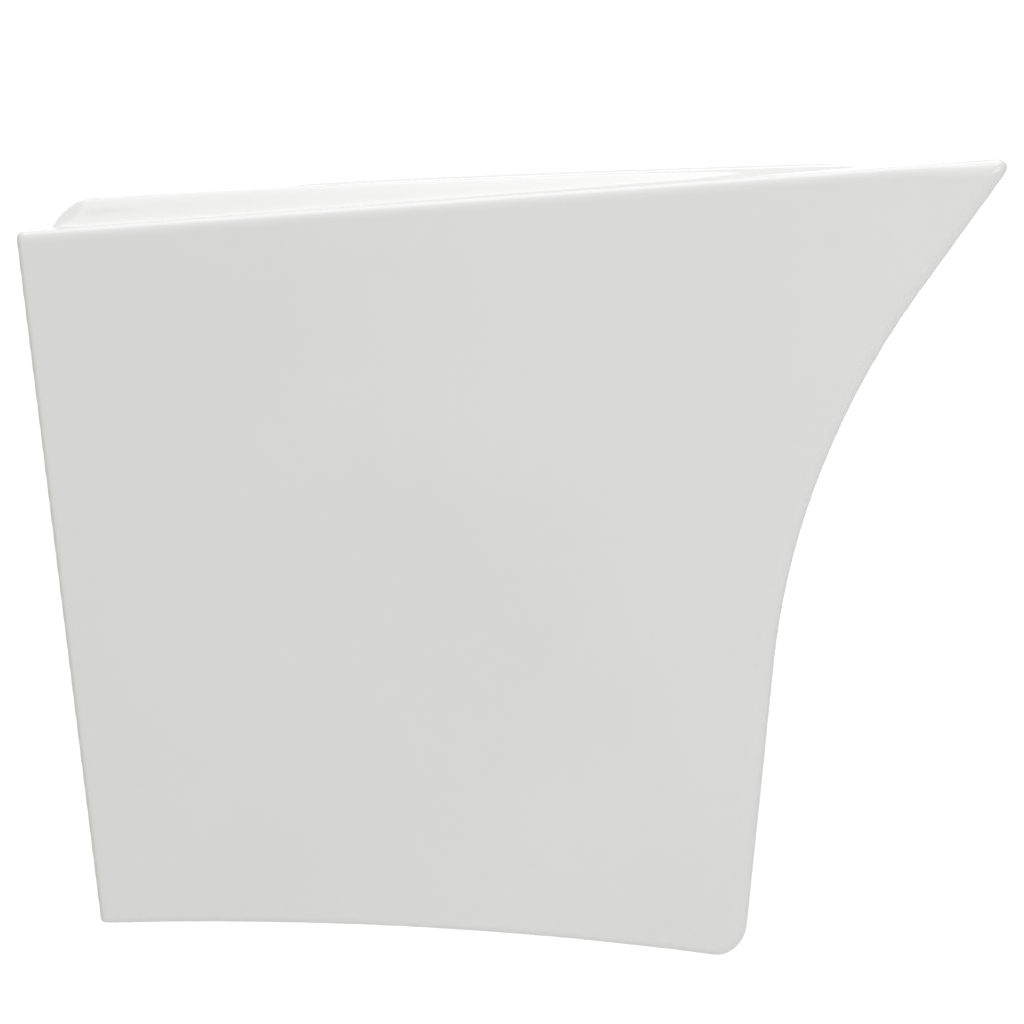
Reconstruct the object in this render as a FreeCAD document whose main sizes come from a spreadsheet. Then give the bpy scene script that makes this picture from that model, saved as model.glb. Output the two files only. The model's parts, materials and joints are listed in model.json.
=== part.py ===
import FreeCAD, Part
import math
import os
import re
import Sketcher

# Wall-hung washbasin with an integral half pedestal, its click-clack waste and its bottle trap.
# Millimetres, +Z up. The wall is the plane Y = 0 and the front faces -Y. The origin lies on the
# wall, midway between the two fixing holes.

doc = FreeCAD.newDocument("pedestal_sink")
sheet = doc.addObject("Spreadsheet::Sheet", "Dims")

SIZES = (
    # The ceramic seen from outside.
    ("width", 452, "across the rim before its edge is rounded"),
    ("projection", 500, "wall to the front lip"),
    ("rim_level", 75, "outer edge of the rim above the fixing holes"),
    ("back_height", 375, "rim to the bottom of the shroud at the wall"),
    ("front_height", 424, "rim to the bottom of the shroud at the front"),
    ("base_depth", 348, "wall to the front of the shroud at the bottom"),
    ("arch_rise", 8, "rise of the arched bottom edge above its chord"),
    ("side_taper", 10.8, "lean of each side towards the middle, degrees"),
    ("lip_angle", 51.5, "underside of the front lip from level, degrees"),
    ("front_lean", 8.3, "front of the shroud from upright, degrees"),
    ("sweep_radius", 430, "hollow curve between the lip and the shroud"),
    ("nose_radius", 5, "rounding of the rim's outer edge"),
    ("flank_radius", 12, "rounding of the upright front edges"),
    ("foot_radius", 10, "rounding of the bottom edges"),
    ("back_edge_radius", 3, "rounding of the upright edges at the wall"),
    # The raised shoulder inside the outer edge.
    ("crest_rise", 14.3, "shoulder above the outer edge, at the tap deck"),
    ("crest_end", 462, "wall to where the shoulder dies into the front lip"),
    ("crest_sag", 4, "bulge of the shoulder line above its chord"),
    ("ledge", 15, "flat strip between the wall and the shoulder"),
    ("shoulder_run", 14, "width of the slope that climbs to the shoulder"),
    ("side_ledge", 7, "outer edge to the foot of the shoulder at the sides"),
    # The bowl.
    ("bowl_side", 31, "rim's outer edge to the bowl at the sides"),
    ("bowl_front", 34, "front lip to the bowl"),
    ("deck_depth", 112, "wall to the bowl"),
    ("bowl_depth", 135, "rim to the bowl floor"),
    ("bowl_corner", 60, "corner radius of the bowl at the rim"),
    ("floor_corner", 55, "corner radius of the bowl floor"),
    ("back_slope_run", 28, "how far the bowl's back wall leans in"),
    ("side_slope_run", 42, "how far each side wall of the bowl leans in"),
    ("front_slope_run", 96, "how far the bowl's front wall leans in"),
    ("cove_radius", 30, "rounding between the bowl walls and its floor"),
    ("floor_fall", 5, "fall of the floor to the drain"),
    ("fall_radius", 95, "radius over which the floor falls"),
    # Ceramic walls and openings.
    ("wall", 12, "thickness of the ceramic walls"),
    ("deck_under", 8, "underside of the tap deck below the outer edge"),
    ("rim_solid", 32, "solid band below the rim around the bowl"),
    ("back_wall", 14, "thickness of the wall that is fixed"),
    ("back_wall_drop", 165, "rim to the bottom of the wall that is fixed"),
    ("tap_hole", 35, "diameter of the tap hole"),
    ("tap_from_wall", 62, "wall to the middle of the tap hole"),
    ("fixing_hole", 16, "diameter of each wall-fixing hole"),
    ("fixing_spread", 280, "distance between the fixing holes"),
    ("drain_from_wall", 240, "wall to the middle of the drain"),
    ("drain_gap", 2.25, "radial gap of the waste tail in the drain hole"),
    ("boss_radius", 40, "radius of the thick ring round the drain"),
    ("boss_height", 38, "thickness of the ceramic at the drain"),
    ("flange_gap", 1.5, "radial gap of the waste flange in its seat"),
    ("recess_depth", 3, "depth of the seat for the waste flange"),
    ("overflow_drop", 42, "rim to the middle of the overflow hole"),
    ("overflow_hole", 24, "diameter of the overflow hole"),
    ("duct_width", 34, "width of the overflow duct"),
    ("duct_gap", 12, "clear depth of the overflow duct"),
    ("duct_skin", 9, "ceramic between the bowl's back wall and the duct"),
    ("duct_roof", 7, "ceramic between the bowl floor and the duct"),
    ("duct_wall", 8, "ceramic outside the duct"),
    # Waste.
    ("flange_radius", 32, "waste flange"),
    ("flange_thick", 2.5, "waste flange thickness"),
    ("seal_thick", 2, "flat washers"),
    ("tail_radius", 20.75, "outside of the threaded waste tail"),
    ("tail_bore", 17.5, "bore radius of the waste"),
    ("tail_length", 84, "length of the waste tail below its flange"),
    ("slot_width", 14, "overflow slots in the waste tail"),
    ("ledge_drop", 34, "flange to the ledge that carries the crossbar"),
    ("ledge_bore", 15.5, "bore radius below that ledge"),
    ("trim_lap", 3.5, "how far the overflow trim's flange covers the ceramic"),
    ("trim_thick", 2, "thickness of that flange"),
    ("trim_wall", 2, "wall of the trim's sleeve"),
    ("trim_sleeve", 8, "sleeve of the trim inside the ceramic"),
    ("crossbar_thick", 4, "crossbar thickness"),
    ("hub_radius", 11, "hub of the crossbar"),
    ("arm_width", 4, "arms of the crossbar"),
    ("cartridge_radius", 7, "click cartridge"),
    ("cartridge_length", 30, "click cartridge below its collar"),
    ("collar_radius", 9.5, "collar of the cartridge"),
    ("collar_thick", 2, "thickness of that collar"),
    ("stem_gap", 0.5, "radial gap of the stem in the cartridge"),
    ("spring_wire", 1.2, "diameter of the return spring's wire"),
    ("spring_turns", 4, "turns of the return spring"),
    ("stem_radius", 4, "plug stem"),
    ("stem_insert", 14, "stem inside the cartridge when shut"),
    ("plug_radius", 30, "plug cap"),
    ("plug_thick", 4, "plug cap thickness at its edge"),
    ("plug_dome", 1.5, "rise of the plug cap's face"),
    ("plug_gap", 0.5, "plug cap above the flange when shut"),
    ("skirt_radius", 14, "stepped boss under the plug"),
    ("skirt_depth", 9, "depth of that boss"),
    ("skirt_lip", 1.5, "lip that holds the sealing ring on the boss"),
    ("stem_screwed", 6, "stem screwed into the plug"),
    ("plug_seal_height", 3, "height of the plug's sealing ring"),
    ("lower_seal_thick", 5, "rubber washer under the basin"),
    ("slip_thick", 1.5, "slip washer"),
    ("washer_radius", 31, "outside of the washers under the basin"),
    ("backnut_flats", 56, "across flats of the backnut"),
    ("backnut_thick", 10, "backnut thickness"),
    # Trap.
    ("pipe_radius", 16, "outside of the 32 mm pipes"),
    ("pipe_wall", 1.8, "wall of the 32 mm pipes"),
    ("nut_wall", 4.75, "radial thickness of the ribbed trap nuts"),
    ("nut_height", 20, "height of the trap nuts"),
    ("nut_lip", 4, "thickness of the lip that a trap nut pulls with"),
    ("nut_ribs", 12, "grip ribs on each trap nut"),
    ("rib_radius", 1.6, "radius of each grip rib"),
    ("pipe_flange_thick", 2, "flange at the top of the dip tube"),
    ("collar_drop", 23, "end of the waste tail to the top of the trap's inlet collar"),
    ("collar_height", 16, "height of that collar"),
    ("bottle_radius", 31, "outside of the trap body"),
    ("bottle_wall", 2.5, "wall of the trap body"),
    ("outlet_drop", 40, "top of the collar to the middle of the outlet pipe"),
    ("spigot_reach", 24, "outlet spigot beyond the trap body"),
    ("dip_clear", 18, "open end of the dip tube above the bottom of the cup"),
    ("cup_depth", 46, "open bottom of the trap body to the bottom of the cup"),
    ("cup_gap", 1.25, "gap between the outlet spigot and the cup"),
    ("cup_wall", 3, "wall of the trap cup"),
    ("cup_overlap", 12, "cup thread up the trap body"),
    ("cup_ribs", 16, "grip ribs on the trap cup"),
    ("rose_radius", 34, "wall rose"),
    ("rose_depth", 12, "depth of the wall rose"),
    ("rose_wall", 1.5, "thickness of the wall rose"),
    ("pipe_stop", 1, "pipe end short of the wall plane"),
    # Clearances.
    ("thread_gap", 0.1, "radial gap of the plain-turned threads"),
    ("slide_gap", 0.3, "radial gap of pieces that slide past each other"),
    ("seat_gap", 0.2, "gap round pieces that are dropped in"),
)
ALIASES = set()
for row, (alias, value, use) in enumerate(SIZES, start=1):
    sheet.set("A%d" % row, alias)
    sheet.set("B%d" % row, str(value))
    sheet.set("C%d" % row, use)
    sheet.setAlias("B%d" % row, alias)
    ALIASES.add(alias)
doc.recompute()


def formula(text):
    """Names in the text that are sheet aliases become references to the sheet."""
    return re.sub(r"[a-z_]+[a-z]", lambda word: "Dims." + word[0] if word[0] in ALIASES else word[0], text)


def size(text):
    """The value that a formula has now, used to find edges and to place first guesses."""
    value = sheet.evalExpression(formula(text))
    return float(getattr(value, "Value", value))


def bind(item, place, text):
    item.setExpression(place, formula(text))


def new_body(label):
    body = doc.addObject("PartDesign::Body", label)
    body.Label = label
    return body


def new_sketch(body, role, offset=None):
    """A sketch on one of the body's own origin planes, lifted off it by a formula if one is given."""
    plane = next(item for item in body.Origin.OriginFeatures if item.Role == role)
    sketch = body.newObject("Sketcher::SketchObject", body.Name + "_sketch")
    sketch.AttachmentSupport = [(plane, "")]
    sketch.MapMode = "FlatFace"
    if offset:
        bind(sketch, "AttachmentOffset.Base.z", offset)
    return sketch


def pin_point(sketch, geometry, end, across, up):
    """Fixes one end of a line or arc at two formulas from the sketch origin."""
    for kind, text in (("DistanceX", across), ("DistanceY", up)):
        index = sketch.addConstraint(Sketcher.Constraint(kind, -1, 1, geometry, end, size(text)))
        bind(sketch, "Constraints[%d]" % index, text)


def add_outline(sketch, corners):
    """A closed outline of straight lines; each corner is a pair of formulas."""
    points = [FreeCAD.Vector(size(across), size(up), 0) for across, up in corners]
    first = sketch.GeometryCount
    for here, there in zip(points, points[1:] + points[:1]):
        sketch.addGeometry(Part.LineSegment(here, there), False)
    count = len(corners)
    for step, (across, up) in enumerate(corners):
        before = first + (step - 1) % count
        sketch.addConstraint(Sketcher.Constraint("Coincident", before, 2, first + step, 1))
        pin_point(sketch, first + step, 1, across, up)


def add_rounded_rectangle(sketch, half_width, back, front, radius):
    """A rectangle with round corners, symmetric about the sketch's vertical axis."""
    x, y0, y1, r = size(half_width), size(front), size(back), size(radius)
    sides = (
        ((-x + r, y0), (x - r, y0)),
        ((x, y0 + r), (x, y1 - r)),
        ((x - r, y1), (-x + r, y1)),
        ((-x, y1 - r), (-x, y0 + r)),
    )
    middles = ((x - r, y0 + r, -90), (x - r, y1 - r, 0), (-x + r, y1 - r, 90), (-x + r, y0 + r, 180))
    for (start, end), (mx, my, turn) in zip(sides, middles):
        sketch.addGeometry(Part.LineSegment(FreeCAD.Vector(*start, 0), FreeCAD.Vector(*end, 0)), False)
        circle = Part.Circle(FreeCAD.Vector(mx, my, 0), FreeCAD.Vector(0, 0, 1), r)
        arc = Part.ArcOfCircle(circle, math.radians(turn), math.radians(turn + 90))
        sketch.addGeometry(arc, False)
    for step in range(4):
        line, arc, next_line = 2 * step, 2 * step + 1, (2 * step + 2) % 8
        sketch.addConstraint(Sketcher.Constraint("Tangent", line, 2, arc, 1))
        sketch.addConstraint(Sketcher.Constraint("Tangent", arc, 2, next_line, 1))
        sketch.addConstraint(Sketcher.Constraint("Horizontal" if step % 2 == 0 else "Vertical", line))
        index = sketch.addConstraint(Sketcher.Constraint("Radius", arc, r))
        bind(sketch, "Constraints[%d]" % index, radius)
    for line, kind, text in (
        (0, "DistanceY", front),
        (2, "DistanceX", half_width),
        (4, "DistanceY", back),
        (6, "DistanceX", "-(%s)" % half_width),
    ):
        index = sketch.addConstraint(Sketcher.Constraint(kind, -1, 1, line, 1, size(text)))
        bind(sketch, "Constraints[%d]" % index, text)


def pad_through(body, sketch, length):
    pad = body.newObject("PartDesign::Pad", body.Name + "_pad")
    pad.Profile = sketch
    pad.SideType = "Symmetric"
    bind(pad, "Length", length)
    return pad


def round_edges(body, label, radius, test):
    """Rounds every edge of the body whose middle passes the test."""
    doc.recompute()
    base = body.Tip
    names = []
    for index, edge in enumerate(base.Shape.Edges, start=1):
        middle = edge.valueAt((edge.FirstParameter + edge.LastParameter) / 2)
        if test(edge, middle):
            names.append("Edge%d" % index)
    if not names:
        raise RuntimeError("no edge to round for " + label)
    fillet = body.newObject("PartDesign::Fillet", label)
    fillet.Base = (base, names)
    bind(fillet, "Radius", radius)
    body.Tip = fillet
    doc.recompute()
    return fillet


def turned(label, outline, lying=False):
    """A piece turned on the drain's axis; the outline is (radius, height above the rim) formulas.

    A lying piece is turned on the outlet's axis instead, and its heights run from the drain to the wall.
    """
    body = new_body(label)
    sketch = new_sketch(body, "XZ_Plane")
    add_outline(sketch, outline)
    turn = body.newObject("PartDesign::Revolution", label + "_turn")
    turn.Profile = sketch
    turn.ReferenceAxis = (sketch, ["V_Axis"])
    turn.Angle = 360
    body.Tip = turn
    bind(body, "Placement.Base.y", "-drain_from_wall")
    bind(body, "Placement.Base.z", OUTLET_Z if lying else "rim_level")
    if lying:
        body.Placement.Rotation = FreeCAD.Rotation(FreeCAD.Vector(1, 0, 0), -90)
    return body


def ring(label, inner, outer, bottom, top, lying=False):
    return turned(label, ((inner, bottom), (outer, bottom), (outer, top), (inner, top)), lying)


def add_ribs(body, radius, count, bottom, height):
    """Half-round grip ribs round a turned piece, from bottom upwards."""
    sketch = new_sketch(body, "XY_Plane", bottom)
    spot = FreeCAD.Vector(size(radius), 0, 0)
    circle = sketch.addGeometry(Part.Circle(spot, FreeCAD.Vector(0, 0, 1), size("rib_radius")), False)
    pin_point(sketch, circle, 3, radius, "0")
    index = sketch.addConstraint(Sketcher.Constraint("Radius", circle, size("rib_radius")))
    bind(sketch, "Constraints[%d]" % index, "rib_radius")
    rib = body.newObject("PartDesign::Pad", body.Name + "_rib")
    rib.Profile = sketch
    bind(rib, "Length", height)
    pattern = body.newObject("PartDesign::PolarPattern", body.Name + "_ribs")
    pattern.Originals = [rib]
    pattern.Axis = (sketch, ["N_Axis"])
    pattern.Angle = 360
    bind(pattern, "Occurrences", count)
    body.Tip = pattern


def cylinder(label, radius, height, base, tilt=None):
    """A plain cylinder standing on base, laid back about X by tilt degrees if given."""
    item = doc.addObject("Part::Cylinder", label)
    bind(item, "Radius", radius)
    bind(item, "Height", height)
    if tilt:
        item.Placement = FreeCAD.Placement(FreeCAD.Vector(), FreeCAD.Rotation(FreeCAD.Vector(1, 0, 0), 90))
        bind(item, "Placement.Rotation.Angle", tilt)
    for axis, text in zip("xyz", base):
        if text != "0":
            bind(item, "Placement.Base." + axis, text)
    return item


def box(label, length, width, height, base):
    item = doc.addObject("Part::Box", label)
    bind(item, "Length", length)
    bind(item, "Width", width)
    bind(item, "Height", height)
    for axis, text in zip("xyz", base):
        if text != "0":
            bind(item, "Placement.Base." + axis, text)
    return item


def cut(label, base, tool):
    item = doc.addObject("Part::Cut", label)
    item.Base = base
    item.Tool = tool
    return item


def fuse(label, items):
    item = doc.addObject("Part::MultiFuse", label)
    item.Shapes = items
    return item


# ---------------------------------------------------------------- ceramic: outside

TIP = "-(projection + nose_radius * (1 / tan(lip_angle / 2) - 1))"
BELOW = "rim_level - front_height - 20"


def add_front(sketch, start, end, radius):
    """The lip line, the hollow sweep and the shroud line, from start on the lip to end at the bottom."""
    first = sketch.GeometryCount
    lip, lean = math.radians(size("lip_angle")), math.radians(size("front_lean"))
    y0, z0, y1, z1 = size(start[0]), size(start[1]), size(end[0]), size(end[1])
    run = ((y1 - y0) * math.cos(lean) + (z1 - z0) * math.sin(lean)) / math.cos(lip + lean)
    corner = FreeCAD.Vector(y0 + run * math.cos(lip), z0 - run * math.sin(lip), 0)
    bend = size(radius)
    trim = bend * math.tan((math.pi / 2 - lip - lean) / 2)
    lip_end = corner + FreeCAD.Vector(-math.cos(lip), math.sin(lip), 0) * trim
    front_start = corner + FreeCAD.Vector(math.sin(lean), -math.cos(lean), 0) * trim
    centre = front_start + FreeCAD.Vector(-math.cos(lean), -math.sin(lean), 0) * bend
    circle = Part.Circle(centre, FreeCAD.Vector(0, 0, 1), bend)
    sketch.addGeometry(Part.LineSegment(FreeCAD.Vector(y0, z0, 0), lip_end), False)
    sketch.addGeometry(Part.ArcOfCircle(circle, lean, math.pi / 2 - lip), False)
    sketch.addGeometry(Part.LineSegment(front_start, FreeCAD.Vector(y1, z1, 0)), False)
    sketch.addConstraint(Sketcher.Constraint("Tangent", first, 2, first + 1, 2))
    sketch.addConstraint(Sketcher.Constraint("Tangent", first + 1, 1, first + 2, 1))
    for line, text in ((first, "-lip_angle * 1 deg"), (first + 2, "(front_lean - 90) * 1 deg")):
        index = sketch.addConstraint(Sketcher.Constraint("Angle", line, math.radians(size(text))))
        bind(sketch, "Constraints[%d]" % index, text)
    index = sketch.addConstraint(Sketcher.Constraint("Radius", first + 1, bend))
    bind(sketch, "Constraints[%d]" % index, radius)
    pin_point(sketch, first, 1, *start)
    pin_point(sketch, first + 2, 2, *end)


def add_path(sketch, from_line, corners, to_line):
    """Straight lines from the end of one line through the corners to the start of another."""
    before = from_line
    for index, (here, there) in enumerate(zip(corners, corners[1:])):
        ends = [FreeCAD.Vector(size(across), size(up), 0) for across, up in (here, there)]
        line = sketch.addGeometry(Part.LineSegment(*ends), False)
        sketch.addConstraint(Sketcher.Constraint("Coincident", before, 2, line, 1))
        if index < len(corners) - 2:
            pin_point(sketch, line, 2, *there)
        before = line
    sketch.addConstraint(Sketcher.Constraint("Coincident", before, 2, to_line, 1))


def add_bow(sketch, start, end, chord_square, rise):
    """An arc that bows upwards; start is its right-hand end as the sketch is seen."""
    y0, z0, y1, z1 = size(start[0]), size(start[1]), size(end[0]), size(end[1])
    radius = "(%s / 4 + (%s)^2) / (2 * (%s))" % (chord_square, rise, rise)
    middle = FreeCAD.Vector((y0 + y1) / 2, (z0 + z1) / 2, 0)
    down = FreeCAD.Vector(z0 - z1, y1 - y0, 0).normalize()
    centre = middle + down * (size(radius) - size(rise))
    turns = [math.atan2(z - centre.y, y - centre.x) for y, z in ((y0, z0), (y1, z1))]
    circle = Part.Circle(centre, FreeCAD.Vector(0, 0, 1), size(radius))
    arc = sketch.addGeometry(Part.ArcOfCircle(circle, *turns), False)
    index = sketch.addConstraint(Sketcher.Constraint("Radius", arc, size(radius)))
    bind(sketch, "Constraints[%d]" % index, radius)
    return arc


def taper_sides(body, inset):
    """Cuts both sides of a body to planes that lean in from the rim."""
    sketch = new_sketch(body, "XZ_Plane")
    edge = "width / 2 - (%s)" % inset
    foot = "%s - tan(side_taper) * (front_height + 30)" % edge
    low = "rim_level - front_height - 30"
    high = "rim_level + 30"
    crown = "%s + tan(side_taper) * 30" % edge
    add_outline(sketch, ((edge, "rim_level"), (foot, low), ("width", low), ("width", high), (crown, high)))
    add_outline(sketch, (("-(%s)" % edge, "rim_level"), ("-(%s)" % crown, high), ("-width", high),
                         ("-width", low), ("-(%s)" % foot, low)))
    pocket = body.newObject("PartDesign::Pocket", body.Name + "_taper")
    pocket.Profile = sketch
    pocket.Type = "ThroughAll"
    pocket.SideType = "Symmetric"
    body.Tip = pocket


HEEL = ("0", "rim_level - back_height")
TOE = ("-base_depth", "rim_level - front_height")

shell = new_body("shell")
side = new_sketch(shell, "YZ_Plane")
add_front(side, (TIP, "rim_level"), TOE, "sweep_radius")
arch = add_bow(side, HEEL, TOE, "(base_depth^2 + (front_height - back_height)^2)", "arch_rise")
side.addConstraint(Sketcher.Constraint("Coincident", 2, 2, arch, 2))
pin_point(side, arch, 1, *HEEL)
back = side.addGeometry(
    Part.LineSegment(FreeCAD.Vector(0, size(HEEL[1]), 0), FreeCAD.Vector(0, size("rim_level"), 0)), False)
side.addConstraint(Sketcher.Constraint("Coincident", arch, 1, back, 1))
rim_back = FreeCAD.Vector(0, size("rim_level"), 0)
rim_front = FreeCAD.Vector(size(TIP), size("rim_level"), 0)
top = side.addGeometry(Part.LineSegment(rim_back, rim_front), False)
side.addConstraint(Sketcher.Constraint("Coincident", back, 2, top, 1))
pin_point(side, back, 2, "0", "rim_level")
side.addConstraint(Sketcher.Constraint("Coincident", top, 2, 0, 1))
pad_through(shell, side, "width")
taper_sides(shell, "0")
round_edges(
    shell, "flank_rounding", "flank_radius",
    lambda edge, middle: abs(middle.x) > 10
    and middle.y < -0.75 * size("base_depth")
    and middle.z < size("rim_level") - 1,
)
round_edges(
    shell, "foot_rounding", "foot_radius",
    lambda edge, middle: (
        abs(middle.x) < 1 and middle.y < -0.9 * size("base_depth") and middle.z < size(TOE[1]) + 2),
)
round_edges(
    shell, "nose_rounding", "nose_radius",
    lambda edge, middle: (
        abs(middle.x) < 1 and middle.y < -size("projection") and middle.z > size("rim_level") - 1),
)
round_edges(
    shell, "back_rounding", "back_edge_radius",
    lambda edge, middle: abs(middle.x) < 1 and abs(middle.y) < 0.01 and middle.z > size("rim_level") - 1,
)

# The raised shoulder that carries the tap deck and runs out into the front lip.
shoulder = new_body("shoulder")
brow = new_sketch(shoulder, "YZ_Plane")
CREST_BACK = ("-(ledge + shoulder_run)", "rim_level + crest_rise")
CREST_FRONT = ("-crest_end", "rim_level")
crest = add_bow(brow, CREST_BACK, CREST_FRONT,
                "((crest_end - ledge - shoulder_run)^2 + crest_rise^2)", "crest_sag")
pin_point(brow, crest, 1, *CREST_BACK)
pin_point(brow, crest, 2, *CREST_FRONT)
UNDER = "rim_level - 4"
foot_line = brow.addGeometry(
    Part.LineSegment(FreeCAD.Vector(-size("ledge"), size(UNDER), 0),
                     FreeCAD.Vector(-size("ledge"), size("rim_level"), 0)), False)
pin_point(brow, foot_line, 1, "-ledge", UNDER)
pin_point(brow, foot_line, 2, "-ledge", "rim_level")
climb = brow.addGeometry(
    Part.LineSegment(FreeCAD.Vector(-size("ledge"), size("rim_level"), 0),
                     FreeCAD.Vector(size(CREST_BACK[0]), size(CREST_BACK[1]), 0)), False)
brow.addConstraint(Sketcher.Constraint("Coincident", foot_line, 2, climb, 1))
brow.addConstraint(Sketcher.Constraint("Coincident", climb, 2, crest, 1))
add_path(brow, crest, (CREST_FRONT, ("-crest_end", UNDER), ("-ledge", UNDER)), foot_line)
pad_through(shoulder, brow, "width - 2 * side_ledge")
slopes = new_sketch(shoulder, "XZ_Plane")
EDGE = "width / 2 - side_ledge"
HIGH = "rim_level + crest_rise * 2"
HIGH_EDGE = "width / 2 - side_ledge - shoulder_run * 2"
add_outline(slopes, ((EDGE, "rim_level"), ("width", "rim_level"), ("width", HIGH), (HIGH_EDGE, HIGH)))
add_outline(slopes, (("-(%s)" % EDGE, "rim_level"), ("-(%s)" % HIGH_EDGE, HIGH), ("-width", HIGH),
                     ("-width", "rim_level")))
slope_cut = shoulder.newObject("PartDesign::Pocket", "shoulder_slopes")
slope_cut.Profile = slopes
slope_cut.Type = "ThroughAll"
slope_cut.SideType = "Symmetric"
shoulder.Tip = slope_cut

# ---------------------------------------------------------------- ceramic: bowl


def bowl_body(label, grow):
    """A bowl that narrows from the rim to its floor over a rounded cove; grow widens every outline."""
    body = new_body(label)
    deep = "(bowl_depth + %s)" % grow
    cove = "(cove_radius + %s)" % grow
    # Depth below the rim, share of the wall's slope reached there, and how far the cove has turned in.
    steps = (
        ("0", "0", "0"),
        ("(%s - %s)" % (deep, cove), "(bowl_depth - cove_radius) / bowl_depth", "0"),
        ("(%s - %s * (1 - sin(30)))" % (deep, cove), "1", "%s * (1 - cos(30))" % cove),
        ("(%s - %s * (1 - sin(60)))" % (deep, cove), "1", "%s * (1 - cos(60))" % cove),
        (deep, "1", cove),
    )
    outlines = []
    for depth, share, turned_in in steps:
        sketch = new_sketch(body, "XY_Plane", "rim_level - " + depth)
        add_rounded_rectangle(
            sketch,
            "width / 2 - bowl_side - side_slope_run * %s - %s + %s" % (share, turned_in, grow),
            "-deck_depth - back_slope_run * %s - %s + %s" % (share, turned_in, grow),
            "-(projection - bowl_front - front_slope_run * %s) + %s - %s" % (share, turned_in, grow),
            "bowl_corner + %s - (bowl_corner - floor_corner) * %s - %s * 0.9" % (grow, share, turned_in),
        )
        outlines.append(sketch)
    loft = body.newObject("PartDesign::AdditiveLoft", label + "_loft")
    loft.Profile = outlines[-1]
    loft.Sections = outlines[-2::-1]
    loft.Ruled = True
    body.Tip = loft
    return body, outlines[0]


bowl, brim = bowl_body("bowl", "0")
mouth = bowl.newObject("PartDesign::Pad", "mouth")
mouth.Profile = brim
bind(mouth, "Length", "crest_rise * 2")
bowl.Tip = mouth
bowl_shell, shell_brim = bowl_body("bowl_shell", "wall")

DRAIN = "-drain_from_wall"
FLOOR = "rim_level - bowl_depth"
SEAT = "bowl_depth + floor_fall + recess_depth"
SEAT_RADIUS = "(flange_radius + flange_gap)"
DRAIN_RADIUS = "(tail_radius + drain_gap)"
DUCT_TOP = "bowl_depth + floor_fall + duct_roof"
fall = doc.addObject("Part::Cone", "floor_cone")
bind(fall, "Radius1", SEAT_RADIUS)
bind(fall, "Radius2", "fall_radius")
bind(fall, "Height", "floor_fall")
bind(fall, "Placement.Base.y", DRAIN)
bind(fall, "Placement.Base.z", FLOOR + " - floor_fall")
recess = cylinder(
    "flange_seat", SEAT_RADIUS, "recess_depth + 1", ("0", DRAIN, "rim_level - (%s)" % SEAT))
BOSS_BASE = FLOOR + " - floor_fall - boss_height"
boss = cylinder("boss", "boss_radius", "floor_fall + boss_height", ("0", DRAIN, BOSS_BASE))
drain = cylinder("drain", DRAIN_RADIUS, "boss_height + 10", ("0", DRAIN, BOSS_BASE + " - 5"))

# ---------------------------------------------------------------- ceramic: overflow duct


def duct_body(label, width, out, top):
    """The duct's L shape seen from the side, grown by out: down behind the bowl, then to the drain."""
    body = new_body(label)
    sketch = new_sketch(body, "YZ_Plane")
    lean = "back_slope_run / bowl_depth"
    front = "-deck_depth - %s * (%s) + duct_skin - %s" % (lean, "%s", out)
    rear = "-deck_depth - %s * (%s) + duct_skin + duct_gap + %s" % (lean, "%s", out)
    roof = "(%s - %s)" % (DUCT_TOP, out)
    base = "(%s + duct_gap + %s)" % (DUCT_TOP, out)
    end = "-drain_from_wall + %s - 4 + %s" % (DRAIN_RADIUS, out)
    add_outline(sketch, (
        (front % top, "rim_level - (%s)" % top),
        (front % roof, "rim_level - " + roof),
        (end, "rim_level - " + roof),
        (end, "rim_level - " + base),
        (rear % base, "rim_level - " + base),
        (rear % top, "rim_level - (%s)" % top),
    ))
    pad_through(body, sketch, width)
    return body


DUCT_START = "overflow_drop - overflow_hole / 2 - 4"
duct = duct_body("duct", "duct_width", "0", DUCT_START)
duct_housing = duct_body(
    "duct_housing", "duct_width + 2 * duct_wall", "duct_wall", DUCT_START + " - duct_wall")
BORE_TILT = "-(90 deg + atan(back_slope_run / bowl_depth))"
TILT = "atan(back_slope_run / bowl_depth)"
overflow_bore = cylinder(
    "overflow_bore", "overflow_hole / 2", "duct_skin + duct_gap / 2 + 5",
    ("0", "-deck_depth - back_slope_run / bowl_depth * overflow_drop - 5 * cos(%s)" % TILT,
     "rim_level - overflow_drop + 5 * sin(%s)" % TILT),
    BORE_TILT,
)

# ---------------------------------------------------------------- ceramic: hollow shroud

hollow = new_body("hollow")
inner = new_sketch(hollow, "YZ_Plane")
START = ("%s + wall / sin(lip_angle) + rim_solid / tan(lip_angle)" % TIP, "rim_level - rim_solid")
END = ("-base_depth + wall / cos(front_lean) + 20 * tan(front_lean)", BELOW)
add_front(inner, START, END, "sweep_radius + wall")
add_path(inner, 2, (
    END,
    ("20", BELOW),
    ("20", "rim_level - back_wall_drop"),
    ("-back_wall", "rim_level - back_wall_drop"),
    ("-back_wall", "rim_level - deck_under"),
    ("-(deck_depth - wall)", "rim_level - deck_under"),
    ("-(deck_depth - wall)", "rim_level - rim_solid"),
    START,
), 0)
pad_through(hollow, inner, "width")
taper_sides(hollow, "wall / cos(side_taper)")

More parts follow.
